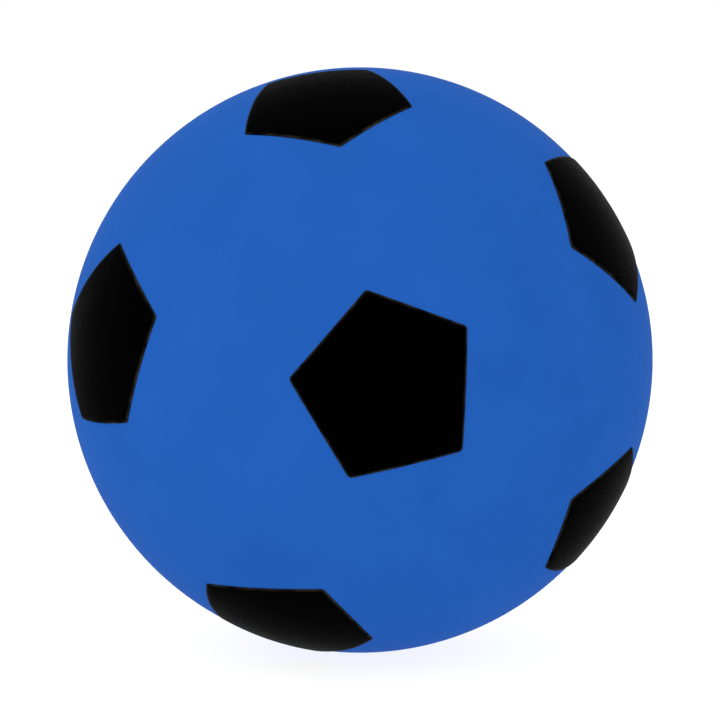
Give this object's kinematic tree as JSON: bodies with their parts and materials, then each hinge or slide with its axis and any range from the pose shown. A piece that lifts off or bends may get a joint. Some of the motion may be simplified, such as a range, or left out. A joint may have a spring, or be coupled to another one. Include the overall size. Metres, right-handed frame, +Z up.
{
  "type": "juggling ball",
  "caption": "Blue filled-shell juggling ball with black football pentagons, a loose filling inside and a pull-out plug in its filling hole.",
  "frame": {"origin": "centre of the ball", "axes": "-Y out of the middle of the front pentagon, +Y out of the filling hole in the back pentagon, +Z up"},
  "size_m": [0.07, 0.0704, 0.07],
  "materials": {
    "shell_blue": "matte soft PVC",
    "plug_blue": "matte soft PVC",
    "patch_black": "matte",
    "filling": "loose grains"
  },
  "bodies": {
    "shell": {"front_shell": "shell_blue", "back_shell": "shell_blue", "front_pentagon": "patch_black", "front_ring_pentagon_1": "patch_black", "front_ring_pentagon_2": "patch_black", "front_ring_pentagon_3": "patch_black", "front_ring_pentagon_4": "patch_black", "front_ring_pentagon_5": "patch_black", "back_pentagon": "patch_black", "back_ring_pentagon_1": "patch_black", "back_ring_pentagon_2": "patch_black", "back_ring_pentagon_3": "patch_black", "back_ring_pentagon_4": "patch_black", "back_ring_pentagon_5": "patch_black"},
    "filling": {"filling": "filling"},
    "plug": {"fill_plug": "plug_blue"}
  },
  "joints": [
    {"name": "filling_swing", "type": "hinge", "parent": "shell", "child": "filling", "pos_m": [0, 0, 0], "axis": [0, 1, 0], "continuous": true},
    {"name": "plug_pull", "type": "slide", "parent": "shell", "child": "plug", "axis": [0, 1, 0], "range_m": [0, 0.012]}
  ]
}
